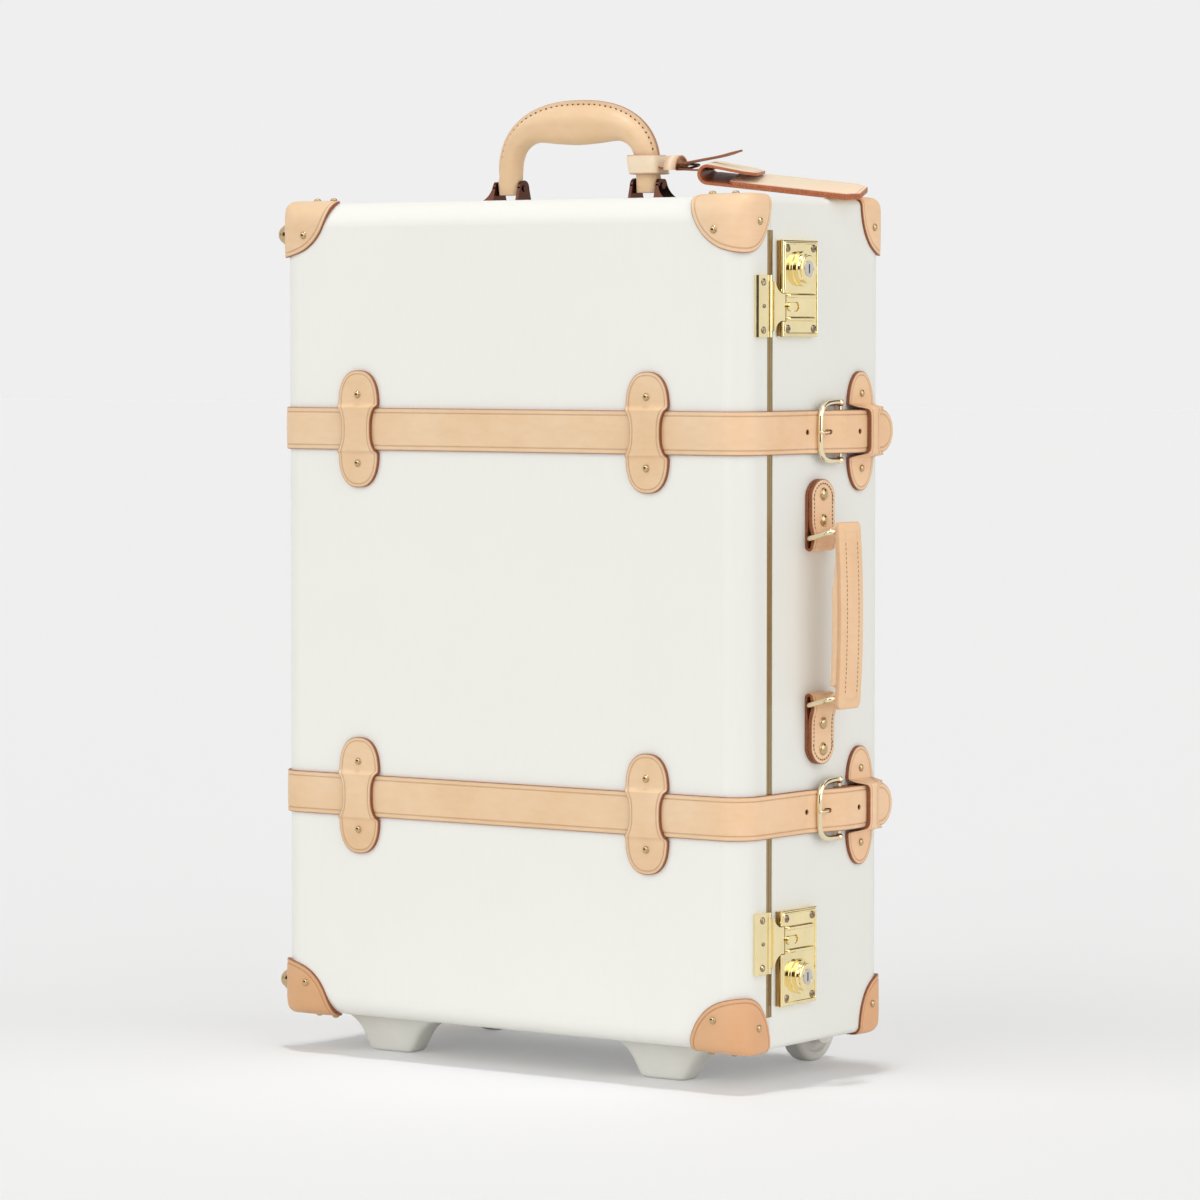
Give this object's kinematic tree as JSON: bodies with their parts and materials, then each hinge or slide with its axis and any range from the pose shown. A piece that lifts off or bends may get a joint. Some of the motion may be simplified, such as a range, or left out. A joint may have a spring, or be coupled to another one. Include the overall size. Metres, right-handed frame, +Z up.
{
  "type": "spinner suitcase",
  "caption": "Upright hard travel case with a hinged front lid, buckled leather straps, riveted corner caps, brass locks, carrying handles, front feet and rear wheels.",
  "frame": {"origin": "bottom centre of the box round the whole object, on the floor it stands on", "axes": "+Z up, +X to the right of the front lid, +Y from the lid to the back"},
  "size_m": [0.463, 0.2158, 0.7146],
  "materials": {
    "cream_shell": "satin cream fibre board",
    "cream_plastic": "satin moulded plastic",
    "tan_leather": "natural tan leather with dark raw edges",
    "polished_brass": "polished",
    "steel": "turned",
    "lining_cloth": "woven cloth",
    "wheel_rubber": "cream rubber",
    "dark_plastic": "satin moulded plastic",
    "tube_alloy": "satin drawn tube"
  },
  "bodies": {
    "base": {"base_shell": "cream_shell", "wheel_housing_left": "cream_shell", "wheel_housing_right": "cream_shell", "front_foot_left": "cream_plastic", "front_foot_right": "cream_plastic", "base_corner_caps": "tan_leather", "upper_strap_back": "tan_leather", "lower_strap_back": "tan_leather", "upper_strap_tail": "tan_leather", "lower_strap_tail": "tan_leather", "back_strap_guides": "tan_leather", "upper_side_guide": "tan_leather", "lower_side_guide": "tan_leather", "upper_side_tab": "tan_leather", "lower_side_tab": "tan_leather", "base_rim": "polished_brass", "base_rivets": "polished_brass", "base_glides": "polished_brass", "upper_buckle": "polished_brass", "lower_buckle": "polished_brass", "upper_buckle_tongue": "polished_brass", "lower_buckle_tongue": "polished_brass", "upper_lock_case": "polished_brass", "lower_lock_case": "polished_brass", "lock_screws": "polished_brass", "hinge_base_leaves": "polished_brass", "handle_brackets": "polished_brass", "hinge_pins": "steel", "wheel_axles": "steel", "base_lining": "lining_cloth", "trolley_well": "dark_plastic", "trolley_outer_tubes": "tube_alloy"},
    "lid": {"lid_shell": "cream_shell", "lid_rim": "polished_brass", "lid_lining": "lining_cloth", "lid_corner_caps": "tan_leather", "lid_rivets": "polished_brass", "upper_strap_front": "tan_leather", "lower_strap_front": "tan_leather", "front_strap_guides": "tan_leather", "hasp_plates": "polished_brass", "hinge_lid_leaves": "polished_brass", "lid_glides": "polished_brass"},
    "upper_hasp": {"upper_hasp": "polished_brass"},
    "lower_hasp": {"lower_hasp": "polished_brass"},
    "upper_button": {"upper_lock_button": "polished_brass"},
    "lower_button": {"lower_lock_button": "polished_brass"},
    "upper_key": {"upper_key_plug": "polished_brass"},
    "lower_key": {"lower_key_plug": "polished_brass"},
    "top_handle": {"top_handle": "tan_leather", "tag_strap": "tan_leather"},
    "luggage_tag": {"luggage_tag": "tan_leather"},
    "upper_ring": {"upper_handle_ring": "polished_brass"},
    "lower_ring": {"lower_handle_ring": "polished_brass"},
    "side_handle": {"side_handle": "tan_leather"},
    "wheel_left": {"wheel_left": "wheel_rubber"},
    "wheel_right": {"wheel_right": "wheel_rubber"},
    "trolley": {"trolley_handle": "dark_plastic"},
    "trolley_button": {"trolley_button": "dark_plastic"}
  },
  "joints": [
    {"name": "lid_hinge", "type": "hinge", "parent": "base", "child": "lid", "pos_m": [-0.2226, -0.0681, 0.334], "axis": [0, 0, -1], "range_deg": [0, 100]},
    {"name": "upper_hasp_hinge", "type": "hinge", "parent": "lid", "child": "upper_hasp", "pos_m": [0.2019, -0.0711, 0.561], "axis": [0, 0, -1], "range_deg": [0, 90]},
    {"name": "lower_hasp_hinge", "type": "hinge", "parent": "lid", "child": "lower_hasp", "pos_m": [0.2019, -0.0711, 0.107], "axis": [0, 0, -1], "range_deg": [0, 90]},
    {"name": "upper_button_slide", "type": "slide", "parent": "base", "child": "upper_button", "axis": [0, 1, 0], "range_m": [0, 0.0045], "stiffness_N_per_m": 150},
    {"name": "lower_button_slide", "type": "slide", "parent": "base", "child": "lower_button", "axis": [0, 1, 0], "range_m": [0, 0.0045], "stiffness_N_per_m": 150},
    {"name": "upper_key_turn", "type": "hinge", "parent": "base", "child": "upper_key", "pos_m": [0.209, -0.0367, 0.5878], "axis": [1, 0, 0], "range_deg": [0, 90]},
    {"name": "lower_key_turn", "type": "hinge", "parent": "base", "child": "lower_key", "pos_m": [0.209, -0.0367, 0.0802], "axis": [1, 0, 0], "range_deg": [0, 90]},
    {"name": "top_handle_swing", "type": "hinge", "parent": "base", "child": "top_handle", "pos_m": [-0.01, -0.0091, 0.65], "axis": [1, 0, 0], "range_deg": [-75, 75]},
    {"name": "tag_lift", "type": "hinge", "parent": "base", "child": "luggage_tag", "pos_m": [0.10881, -0.00535, 0.66105], "axis": [0.3637, -0.912, -0.1896], "range_deg": [0, 60]},
    {"name": "upper_ring_swing", "type": "hinge", "parent": "base", "child": "upper_ring", "pos_m": [0.20375, -0.0076, 0.394], "axis": [0, 1, 0], "range_deg": [-50, 50]},
    {"name": "lower_ring_swing", "type": "hinge", "parent": "base", "child": "lower_ring", "pos_m": [0.20375, -0.0076, 0.274], "axis": [0, 1, 0], "range_deg": [-50, 50]},
    {"name": "side_handle_swing", "type": "hinge", "parent": "upper_ring", "child": "side_handle", "pos_m": [0.2249, -0.0076, 0.40006], "axis": [0, 1, 0], "range_deg": [-50, 50]},
    {"name": "wheel_left_spin", "type": "hinge", "parent": "base", "child": "wheel_left", "pos_m": [-0.156, 0.0809, 0.027], "axis": [1, 0, 0], "continuous": true},
    {"name": "wheel_right_spin", "type": "hinge", "parent": "base", "child": "wheel_right", "pos_m": [0.136, 0.0809, 0.027], "axis": [1, 0, 0], "continuous": true},
    {"name": "trolley_slide", "type": "slide", "parent": "base", "child": "trolley", "axis": [0, 0, 1], "range_m": [0, 0.4]},
    {"name": "trolley_button_press", "type": "slide", "parent": "trolley", "child": "trolley_button", "axis": [0, 0, -1], "range_m": [0, 0.003], "stiffness_N_per_m": 300}
  ],
  "couplings": [
    {"joint": "lower_ring_swing", "follows": "upper_ring_swing", "ratio": 1},
    {"joint": "side_handle_swing", "follows": "upper_ring_swing", "ratio": -1}
  ]
}
